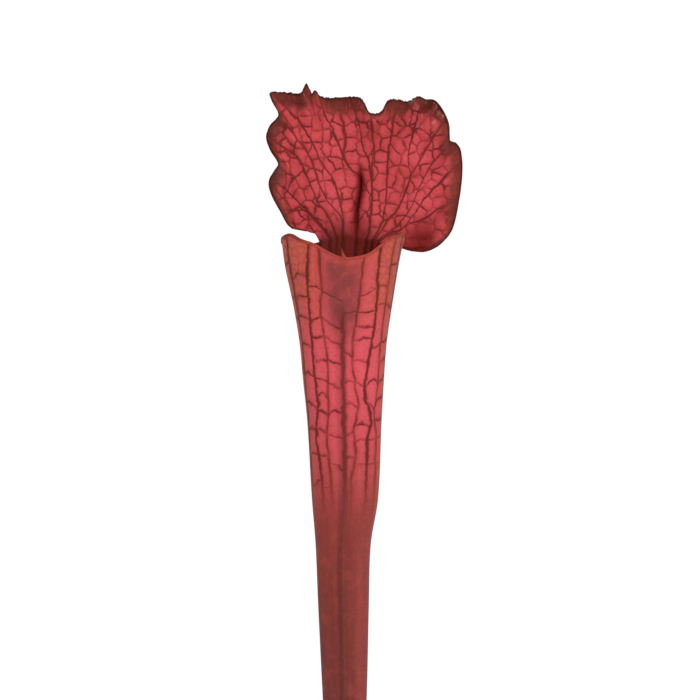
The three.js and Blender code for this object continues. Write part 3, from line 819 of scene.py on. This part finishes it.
@functools.cache
def strips(height):
    """The places of all long veins of the tube at a height, in order round it."""
    main, side = (vein_row(family, False, height)[0] for family in ("main", "side"))
    return sorted({*main, *side})


@functools.cache
def rungs(strip):
    """The cross veins between two long veins: drawn on the front, and strewn elsewhere."""
    if strip in TUBE_RUNGS:
        return sorted(TUBE_RUNGS[strip])
    draw = random.Random(strip)
    made, height = [], draw.uniform(160, 165)
    while height < 245:
        left, right, arch = (draw.uniform(-reach, reach) for reach in (1.4, 1.4, 1))
        made.append((height + left, height + right, arch))
        height += draw.uniform(5.5, 9.5)
    return made


ABOVE_RUNGS = 270


def rung_address(strip, around, height):
    """Counts the cross veins up to a height in a strip between two long veins."""
    places = strips(height)
    left, right = places[strip], places[strip + 1]
    share = (around - left) / (right - left)
    arched = 4 * share * (1 - share)
    levels = [lerp(low, high, share) + sum(arch) * arched for low, high, *arch in rungs(strip)]
    levels = [0, *levels, ABOVE_RUNGS]
    return address(height, levels, [b - a for a, b in zip(levels, levels[1:])])


MARKS = ("edge", "band", "brown", "painted_shade", "inner", "lip")  # what a finish asks of each point
FAR_FROM_RUNGS = (0.5, 9)
FAR_FROM_EDGE = 90
# How dark the painted shade over the whole inside of the tube is.
THROAT_PAINTED_SHADE = 0.92


def rolled_pitcher(name, finish, node, place, girth, rise, wall, bands, rows, hood_rows, cuts):
    """Draws the leaf flat, rolls it up, and gives it a wall, a wing, a rolled lip and a barb."""
    bm = bmesh.new()
    for left, right, columns in bands:
        for bottom, top, count in rows:
            flat_grid(bm, (left, right), (bottom, top), columns, count)
    for v in flat_grid(bm, (NECK_RIGHT, NECK_LEFT), (0, 1), bands[-1][2], hood_rows):
        v.co.y = TUBE_TOP + HOOD_SPAN * (1 - (1 - v.co.y) ** 1.25)
    weld(bm, 1e-4)
    hood_edges = [e for e in bm.edges if e.verts[0].co.y > TUBE_TOP + 0.01
                  and abs(e.verts[0].co.y - e.verts[1].co.y) < 1e-4]
    bmesh.ops.subdivide_edges(bm, edges=hood_edges, cuts=cuts, use_grid_fill=True)

    maps = {key: bm.loops.layers.uv.new(key) for key in ("sheet", "main", "side", "rungs")}
    for face in bm.faces:
        middle = face.calc_center_median()
        on_hood = middle.y > TUBE_TOP or middle.x > NECK_RIGHT and middle.y > NECK_FOOT
        strip = bisect.bisect_right(strips(round(min(middle.y, TUBE_TOP), 2)), middle.x) - 1
        for loop in face.loops:
            around, height = round(loop.vert.co.x, 4), round(loop.vert.co.y, 4)
            loop[maps["sheet"]].uv = (around, height)
            if on_hood:
                loop[maps["rungs"]].uv = FAR_FROM_RUNGS
                spot, level = hood_place(around, max(height, TUBE_TOP))
            else:
                loop[maps["rungs"]].uv = rung_address(strip, around, height)
                spot, level = around, height
            for family in ("main", "side"):
                loop[maps[family]].uv = vein_address(family, on_hood, spot, level)

    around_of, height_of, edge, band, brown, painted_shade, inner, lip = (
        bm.verts.layers.float.new(key) for key in ("around", "height", *MARKS)
    )
    at_rest = bm.verts.layers.float_vector.new("at_rest")
    for v in bm.verts:
        around, height = v.co.x, v.co.y
        v.co = leaf_point(around, height)
        v[around_of], v[height_of] = around, height
        # Marks for painted shade: the whole throat, and the hood's crease, foot, pocket and
        # turned-under lobe.
        v[edge], v[band], v[painted_shade] = FAR_FROM_EDGE, 1, THROAT_PAINTED_SHADE
        from_neck = min(abs(around - NECK_MIDDLE), abs(around - NECK_MIDDLE + 360))
        v[lip] = ease(from_neck, 30, 60) * ease(height, TUBE_TOP - 1.3, TUBE_TOP - 0.3)
        if height > TUBE_TOP:
            across, up = hood_place(around, height)
            v[edge] = (hood_point(across, 1) - v.co).length
            # The band's width and darkness: the band is partly the leaf's own colour, partly painted
            # shade.
            v[band], v[brown] = hood_edge(across)[3:]
            v[painted_shade] = hood_painted_shade(across, up, v.co.x, v.co.z)
        v[at_rest] = v.co
        v.co = Vector((v.co.x * girth, v.co.y * girth, v.co.z * rise))
    weld(bm, 1e-3)
    bm.normal_update()
    for v in bm.verts:
        v.co += v.normal * wall / 2
    outer = set(bm.verts)
    bmesh.ops.solidify(bm, geom=bm.faces[:], thickness=wall)
    for v in bm.verts:
        if v not in outer:
            v[inner] = 1.0

    for v in bm.verts:
        around, height = v[around_of], v[height_of]
        if height > TUBE_TOP:
            continue
        if not v[inner]:
            stands = max(0, along(WING, height)[0]) * girth
            v.co.y -= stands * ease(1 - abs(around) / WING_FOOT, 0, 1) ** 1.3
            v.co += v.normal * 0.35 * v[lip] * girth
        barb = bell(around, BARB["around"], BARB["half_width"])
        barb *= ease(height, TUBE_TOP - 3, TUBE_TOP)
        v.co += Vector((BARB["lean"] * girth, 0, BARB["height"] * rise)) * barb
    bmesh.ops.transform(bm, matrix=place, verts=bm.verts)
    return add_piece(name, bm, finish, [node])


def line(distance, half_width, soft=0.2):
    """1 on a line and 0 away from it, by the distance to it."""
    return distance.ease(half_width + soft, max(half_width - soft, 0))


def veined_leaf(name, relief):
    """Red leaf with a net of dark veins sunk by relief metres, dull and plain low on the tube."""
    leaf = Finish(name, 0.06)
    spot = leaf.attribute("at_rest").out("Vector")
    flat = leaf.split(spot)
    around, height = leaf.pair("sheet")
    main, main_gap = leaf.pair("main")
    side, side_gap = leaf.pair("side")
    edge, band, brown, painted_shade, inner, lip = (leaf.attribute(key).out("Fac") for key in MARKS)
    wiggle = leaf.noise(spot, 3.4, 2) - 0.5
    wobble = leaf.noise(spot, 1.7, 1) - 0.5
    on_hood = height.ease(TUBE_TOP - 0.3, TUBE_TOP + 0.3)

    # Long veins, and a net of cross veins that differs in each strip between two of them.
    main = main + (wiggle * 1.6 + wobble * 0.4) / main_gap.larger(4)
    side = side - (wiggle * 1.6 - wobble * 0.4) / side_gap.larger(4)
    long_vein = main.math("PINGPONG", 0.5) * main_gap
    side_vein = side.math("PINGPONG", 0.5) * side_gap
    strip = main.math("FLOOR") + side.math("FLOOR") * 0.37
    chance = leaf.node("TexWhiteNoise", {"W": strip}, noise_dimensions="1D")
    polygons = leaf.vector(flat / 4.1 + chance * 31 + wiggle * 0.5 + wobble * 0.22,
                           flat.out("Z") / 4.5 + chance * 17 - wiggle * 0.5 + wobble * 0.22)
    rung, rung_gap = leaf.pair("rungs")
    rung = rung + (wiggle * 2.4 + wobble * 0.5) / rung_gap
    cross_vein = leaf.blend(on_hood, rung.math("PINGPONG", 0.5) * rung_gap,
                            leaf.cells(polygons, 0.9) * 4.3)
    turned = abs(around)
    join = turned.ease(NECK_RIGHT - 12, NECK_RIGHT) * abs(height - NECK_FOOT).ease(12, 3)
    veined = height.ease(157, 178) * (1 - lip) * (1 - join)

    # How dark each kind of vein is. Veins of the tube are wider, and the middle one is paler on
    # the wing and ends below the lip.
    wide = leaf.blend(on_hood, 1.4, 1.0)
    rib = (long_vein + leaf.noise(spot, 9, 1) * 0.2) / wide
    ended = turned.ease(10, 6) * height.ease(226, 235)
    on_wing = turned.ease(4, 3) * (1 - on_hood)
    faint = leaf.noise(spot, 4, 1).ease(0.3, 0.62) * 0.6 + 0.4
    dark = line(rib, 0.46) * (1 - ended) * (1 - on_wing * 0.25)
    slim = leaf.blend(on_hood, faint * 0.45 + 0.4, 0.92)
    dark = dark.larger(line(side_vein / leaf.blend(on_hood, 1.2, 1.0), 0.35) * slim)
    # Painted shade, on the inner side only: the throat, the hood's crease and foot, the pocket and
    # the turned-under lobe.
    shaded = painted_shade * inner
    crossing = leaf.blend(on_hood, faint * 0.85 + 0.14, faint) * (1 - shaded)
    dark = dark.larger(line(cross_vein / wide, 0.3, 0.24) * crossing) * veined
    fine = leaf.cells(leaf.vector(flat / 1.9 + wiggle * 0.5, flat.out("Z") / 2.5 - wiggle * 0.5))
    near_vein = long_vein.smaller(side_vein).smaller(cross_vein)
    puff = near_vein.ease(0, 1.3)

    # Colour up the tube: plain and dull, then pink, then orange by the corners of the lip.
    stops = [
        (0.0, rgb(108, 88, 54)), (0.1, rgb(118, 68, 52)), (0.3, rgb(120, 56, 51)),
        (0.46, rgb(134, 58, 52)), (0.52, rgb(143, 60, 55)), (0.57, rgb(168, 66, 64)),
        (0.62, rgb(194, 72, 78)), (0.68, rgb(208, 78, 86)), (0.75, rgb(206, 77, 84)),
        (0.8, rgb(192, 72, 72)), (0.835, rgb(188, 74, 64)),
    ]
    cloudy = leaf.noise(spot, 3.6, 4)
    corner = turned.ease(18, 44) * height.ease(214, 238)
    flank = turned.ease(46, 76) * height.ease(140, 180)
    patch = turned.ease(30, 8) * height.ease(212, 230) * height.ease(251, 246)
    patch = patch * cloudy.ease(-0.1, 0.6)
    streaks = leaf.noise(leaf.vector(around / 16, height / 34), 1, 4)
    dull = height.ease(176, 150)
    wing = turned.ease(8, 1) * height.ease(238, 226)
    tube_red = leaf.coated(
        leaf.ramp(height / (TUBE_TOP + HOOD_SPAN), stops),
        (corner * cloudy.ease(0.3, 0.58) * 0.85, rgb(194, 88, 54)),
        (flank * 0.7, rgb(172, 76, 50)),
        (corner * line(fine, 0.1, 0.16) * 0.36, rgb(112, 46, 38)),
        (patch * 0.9, rgb(128, 58, 56)),
        (streaks.ease(0.35, 0.7) * dull * 0.35, rgb(86, 36, 36)),
        (cloudy.ease(0.48, 0.7) * dull * 0.35, rgb(168, 72, 62)),
        # Painted light: the lower tube is paler towards its right, where the light falls.
        (around.ease(12, 44) * dull * 0.4, rgb(166, 74, 68)),
        (wing * (height.ease(130, 185) * 0.42 + 0.2), rgb(98, 44, 36)),
    )

    # Colour over the hood: pink cells, an olive brown band inside the edge that is partly painted
    # shade where the edge turns back, painted shade and highlights on its folds, ruffles and curled
    # pocket, and a dark edge.
    blotch = leaf.noise(spot, 7, 3)
    ragged = leaf.noise(spot, 2.4, 3) - 0.5
    banded = (edge / band + ragged * 0.5).ease(1.12, 0.45)
    rim = (edge / band + ragged * 0.4).ease(0.55, 0.12)
    mottled = leaf.noise(spot, 1.3, 3).ease(0.45, 0.7)
    olive_band_and_shade = leaf.coated(
        rgb(150, 64, 54),
        (brown, rgb(92, 40, 28)),
        (rim * 0.7, rgb(80, 32, 20)),
        (mottled * brown * 0.6, rgb(60, 18, 12)),
    )
    # Painted shade: a dark line where the left lobes bend back.
    painted_fold_shade = line(abs(edge - band * 1.05), 0.3, 0.3)
    painted_fold_shade = painted_fold_shade * around.ease(188, 190) * height.ease(284, 288)
    # Painted glints: pale flecks in the curled pocket at the top right of the hood.
    pocket = around.ease(158.5, 160.5) * around.ease(167, 165) * height.ease(286, 291)
    painted_glints = leaf.noise(spot, 2.4, 3).ease(0.54, 0.7)
    # Painted shade and painted highlights: dark and pale streaks on the ruffles along the top of the
    # hood.
    painted_ruffle_shading = leaf.noise(leaf.vector(around / 0.7, height / 14), 1, 3)
    ruffled = height.ease(286, 296)
    hood_red = leaf.coated(
        rgb(208, 76, 82),
        (blotch.ease(0.35, 0.65), rgb(190, 64, 66)),
        (banded * 0.9, olive_band_and_shade),
        (painted_fold_shade * 0.6, rgb(84, 26, 22)),
        (pocket * painted_glints * 0.55, rgb(182, 134, 122)),
        (painted_ruffle_shading.ease(0.5, 0.68) * ruffled * 0.4, rgb(84, 30, 24)),
        (painted_ruffle_shading.ease(0.42, 0.28) * ruffled * 0.3, rgb(190, 100, 92)),
        ((edge + ragged * 0.5).ease(0.9, 0.3) * (0.7 + brown * 0.3), rgb(62, 20, 13)),
    )

    # Both together, with paler cells that are partly a painted highlight, the dark veins, the lip,
    # painted shade in the throat and under the hood, and speckles.
    on_band = banded * on_hood
    # Paler middles of the cells between the veins: partly the leaf's own colour, partly a painted
    # highlight on their puffed middles.
    pale_cells_and_highlight = near_vein.ease(0.4, 2.2) * veined * (1 - on_band) * (1 - patch)
    speckle = leaf.noise(spot, 0.8, 3)
    red = leaf.coated(
        tube_red,
        (on_hood, hood_red),
        (pale_cells_and_highlight * 0.22, rgb(232, 106, 116)),
        (dark * (1 - on_band * 0.5) * 0.9, rgb(96, 32, 28)),
        (lip * (around.ease(-28, -50) * 0.35 + 0.3), rgb(96, 36, 26)),
        # Painted shade, darker still on the veins.
        (shaded, leaf.mix(dark * 0.8, rgb(96, 6, 0), rgb(46, 2, 0))),
        (speckle.ease(0.42, 0.68) * 0.2, rgb(96, 40, 36)),
    )
    leaf.show(red, 0.46 + speckle * 0.14, puff * veined * 0.7 + speckle * 0.3, relief)
    return leaf


rolled_pitcher(
    "tall_pitcher", veined_leaf("veined_red_leaf", 0.00018), "main_pitcher",
    Matrix.Translation((0, SET_BACK, soil_level)), girth=1, rise=1, wall=0.6,
    bands=[(SEAM, -72, 28), (-72, 72, 144), (72, NECK_RIGHT, 25), (NECK_RIGHT, NECK_LEFT, 41)],
    rows=[(0, FINER, 96), (FINER, TUBE_TOP, 9)], hood_rows=56, cuts=7,
)

# -------------------- small pitcher
# A younger trap of the same kind, grown from the same crown, a third as tall. It leans out to
# the right, and its foot is held in the crown.


HELD = 4.5  # how deep a leaf's foot is held in the crown


def planted(distance, direction, lean, spin):
    """Where a leaf's base sits in the crown, leaning out in its direction."""
    turn = math.radians(direction)
    x, y = distance * math.cos(turn), SET_BACK + distance * math.sin(turn)
    place = Matrix.Translation((x, y, crown_top(x, y) - HELD))
    place @= Matrix.Rotation(turn + math.pi / 2, 4, "Z")
    place @= Matrix.Rotation(math.radians(lean), 4, "X")
    return place @ Matrix.Rotation(math.radians(spin), 4, "Z")


rolled_pitcher(
    "small_pitcher_leaf", veined_leaf("young_veined_leaf", 0.00005), "small_pitcher",
    planted(11.5, 22, 13, -75), girth=0.4, rise=0.29, wall=0.5,
    bands=[(SEAM, -9, 18), (-9, 9, 6), (9, NECK_RIGHT, 16), (NECK_RIGHT, NECK_LEFT, 20)],
    rows=[(0, FINER, 48), (FINER, TUBE_TOP, 4)], hood_rows=28, cuts=3,
)

# -------------------- closed pitcher
# The youngest trap, whose lid is still shut over its mouth. It is bronze green and flushed
# red, with a groove where the lid will part, and its foot is held in the crown.

# Height, half width, half depth, and how far the middle is bent forward.
BUD = [
    (0, 2.2, 2.0, 0), (6, 2.2, 2.0, 0), (14, 1.8, 1.7, 0), (30, 2.6, 2.3, -0.6),
    (44, 3.6, 3.0, -1), (54, 4.8, 3.4, -0.8), (60, 5.4, 3.2, 0.2), (65, 4.6, 2.6, 1.4),
    (69, 2.6, 1.7, 2.6), (72, 0.02, 0.02, 3.8),
]
BUD_HEIGHT = BUD[-1][0]
PARTING = {"height": 57.5, "slope": 5}  # the groove between lid and mouth, higher at the back


def rolled_leaf(node, finish, place, point, columns, rows):
    """A solid leaf: a flat sheet rolled up by point(turn, share), closed at foot and tip."""
    bm = bmesh.new()
    flat_grid(bm, (0, math.tau), (0, 1), columns, rows)
    sheet = bm.loops.layers.uv.new("sheet")
    for face in bm.faces:
        for loop in face.loops:
            loop[sheet].uv = loop.vert.co.xy
    for v in bm.verts:
        v.co = point(v.co.x, v.co.y)
    weld(bm, 0.02)
    bmesh.ops.holes_fill(bm, edges=bm.edges, sides=0)
    bmesh.ops.recalc_face_normals(bm, faces=bm.faces)
    bmesh.ops.transform(bm, matrix=place, verts=bm.verts)
    return add_piece(node + "_leaf", bm, finish, [node])


def bud_point(turn, share):
    """The bud's surface, with its front ridge and the groove where the lid will part."""
    height = BUD_HEIGHT * share
    half_width, half_depth, forward = along(BUD, height)
    front = math.cos(turn)
    ridge = 1.1 * max(0, front) ** 30
    ridge *= ease(height, 8, 24) * (1 - ease(height, 50, 60))
    groove = 0.4 * bell(height, PARTING["height"] - PARTING["slope"] * front, 0.7)
    ripple = 0.12 * math.sin(14 * turn)
    ripple *= ease(height, 20, 50) * (1 - ease(share, 0.85, 1))
    return Vector(((half_width + ripple - groove) * math.sin(turn),
                   -forward - (half_depth + ripple - groove) * front - ridge, height))


bronze = Finish("bronze_young_leaf", 0.35)
turn, share = bronze.pair("sheet")
grain = bronze.noise(bronze.place(), 1.1, 3)
stripe = bronze.noise(bronze.vector(turn * 2.4, share * 3), 1, 2)
parting = share * BUD_HEIGHT - PARTING["height"] + turn.math("COSINE") * PARTING["slope"]
young = [
    (0.0, rgb(126, 122, 62)), (0.35, rgb(134, 104, 58)),
    (0.7, rgb(150, 74, 58)), (1.0, rgb(140, 46, 46)),
]
flush = bronze.coated(
    bronze.ramp(share + stripe * 0.16 - 0.08, young),
    (stripe.ease(0.52, 0.62) * 0.55, rgb(96, 36, 34)),
    (abs(parting).ease(1.3, 0.3) * 0.6, rgb(78, 28, 24)),
)
relief = grain * 0.4 - stripe.ease(0.5, 0.62) * 0.5
bronze.show(flush, 0.42 + grain * 0.16, relief, 0.0002)
rolled_leaf("closed_pitcher", bronze, planted(11.5, 152, 9, -30), bud_point, 72, 110)

# -------------------- phyllodes
# Flat, sword-shaped leaves without a trap, as the plant makes out of season: green flushed
# with red, finely striped, with a keel down the outside. Their feet are held in the crown.


def blade_point(turn, share, length, width, thickness, foot, bend):
    """A flat leaf's surface. Its outside faces -Y, and its tip bends that way."""
    swell = math.sin(math.pi * ease(share, -0.5, 1.05)) ** 0.8
    half_width = lerp(foot, width, ease(share, 0.05, 0.5)) * 0.5 * swell + 0.01
    half_thick = 0.5 * thickness * lerp(1, 0.45, share)
    side, out = math.sin(turn), math.cos(turn)
    keel = 0.45 * thickness * max(0, out) * bell(side * half_width, 0, 0.55) * swell
    wave = 0.25 * math.sin(11 * share + 3 * side) * abs(side) * swell
    thin = half_thick * out * (1 - 0.55 * side * side)
    return Vector((half_width * side,
                   -bend * share**2 - thin - keel + wave - 0.12 * half_width * side * side,
                   length * share))


def blade_leaves(kind, rows, finish, slot, columns, steps, **sizes):
    """Numbered flat leaves: each row says how a leaf is planted, and its length."""
    for number, (distance, direction, lean, length) in enumerate(rows, 1):
        shape = functools.partial(blade_point, length=length, **sizes)
        place = planted(distance, direction, lean, 0)
        rolled_leaf(f"{kind}_{number}", finish, place, shape, columns, steps)


blade = Finish("phyllode_green", 0.4)
turn, share = blade.pair("sheet")
across = turn.math("SINE")
grain = blade.noise(blade.place(), 1.2, 3)
stripe = blade.noise(blade.vector(across * 7, share * 1.6), 1, 2)
green = blade.coated(
    rgb(134, 146, 70),
    (stripe.ease(0.4, 0.62), rgb(98, 118, 52)),
    ((abs(across) + grain * 0.3).ease(0.8, 1.15) * 0.75, rgb(140, 58, 46)),
    ((share + stripe * 0.3).ease(0.6, 1.15) * 0.9, rgb(142, 56, 46)),
    (share.ease(0.12, 0.0) * 0.8, rgb(140, 92, 72)),
)
blade.show(green, 0.4 + grain * 0.15, stripe * 0.6 + grain * 0.3, 0.00018)

phyllodes = [(10.5, 216, 18, 74), (10.5, 322, 22, 60), (12, 84, 15, 82)]
blade_leaves("phyllode", phyllodes, blade, "flat_leaf", 64, 90,
             width=8.5, thickness=1.4, foot=5, bend=16)

# -------------------- leaf scales
# Short papery scale leaves that once wrapped the growing tip: dry, brown and striped. Their
# feet are held in the crown.

papery = Finish("papery_scale", 0.2)
turn, share = papery.pair("sheet")
stripe = papery.noise(papery.vector(turn.math("SINE") * 9, share * 2), 1, 3)
spots = papery.noise(papery.place(), 1.4, 4)
dry = papery.coated(
    rgb(158, 112, 72),
    (stripe.ease(0.35, 0.65), rgb(104, 68, 44)),
    (spots.ease(0.55, 0.7) * 0.5, rgb(74, 46, 32)),
    (share.ease(0.7, 1.1), rgb(92, 52, 38)),
)
papery.show(dry, 0.8, stripe + spots * 0.4, 0.00025)

scales = [(8, 268, 14, 19), (7.6, 352, 12, 15), (7.8, 184, 12, 17), (8.6, 55, 10, 13)]
blade_leaves("scale_leaf", scales, papery, "scale_leaf", 48, 40,
             width=6.5, thickness=0.9, foot=5.6, bend=3)

# -------------------- stage
# A wide white floor under soft studio light, and a long lens that looks slightly down on the
# mouth of the tall pitcher from the front.

FLOOR_RADIUS = 30000  # millimetres
white = Finish("white_floor", 0.0)
white.show((0.92, 0.92, 0.92, 1), 0.9)
disc = bmesh.new()
bmesh.ops.create_circle(disc, cap_ends=True, segments=96, radius=FLOOR_RADIUS)
floor_disc = body("floor", disc)
floor_disc.data.materials.append(white.material)

SKY_LIGHT = 0.7
SKY_SEEN = 1.1  # brighter where the camera looks straight at it, so that it turns out white
world = bpy.data.worlds.new("studio")
bpy.context.scene.world = world
world.use_nodes = True
sky = world.node_tree.nodes["Background"]
sky.inputs["Color"].default_value = (1, 1, 1, 1)
seen = world.node_tree.nodes.new("ShaderNodeLightPath")
strength = world.node_tree.nodes.new("ShaderNodeMapRange")
strength.inputs["To Min"].default_value = SKY_LIGHT
strength.inputs["To Max"].default_value = SKY_SEEN
world.node_tree.links.new(seen.outputs["Is Camera Ray"], strength.inputs["Value"])
world.node_tree.links.new(strength.outputs[0], sky.inputs["Strength"])

sun = bpy.data.lights.new("key", "SUN")
sun.energy = 2.2
sun.angle = math.radians(35)
linked("key", sun).rotation_euler = (math.radians(54), 0, math.radians(15))

FRAME_WIDTH = 0.2275  # metres across the picture at the plant
DISTANCE = 1.5
RAISED = math.radians(4)
look_at = Vector((0.001625, 0, 0.3052))
lens = bpy.data.cameras.new("camera")
lens.sensor_width = 36
lens.lens = lens.sensor_width * DISTANCE / FRAME_WIDTH
lens.clip_end = 200
camera = linked("camera", lens)
camera.location = look_at + DISTANCE * Vector((0, -math.cos(RAISED), math.sin(RAISED)))
camera.rotation_euler = (math.radians(90) - RAISED, 0, 0)
bpy.context.scene.camera = camera
bpy.context.scene.view_settings.view_transform = "Standard"
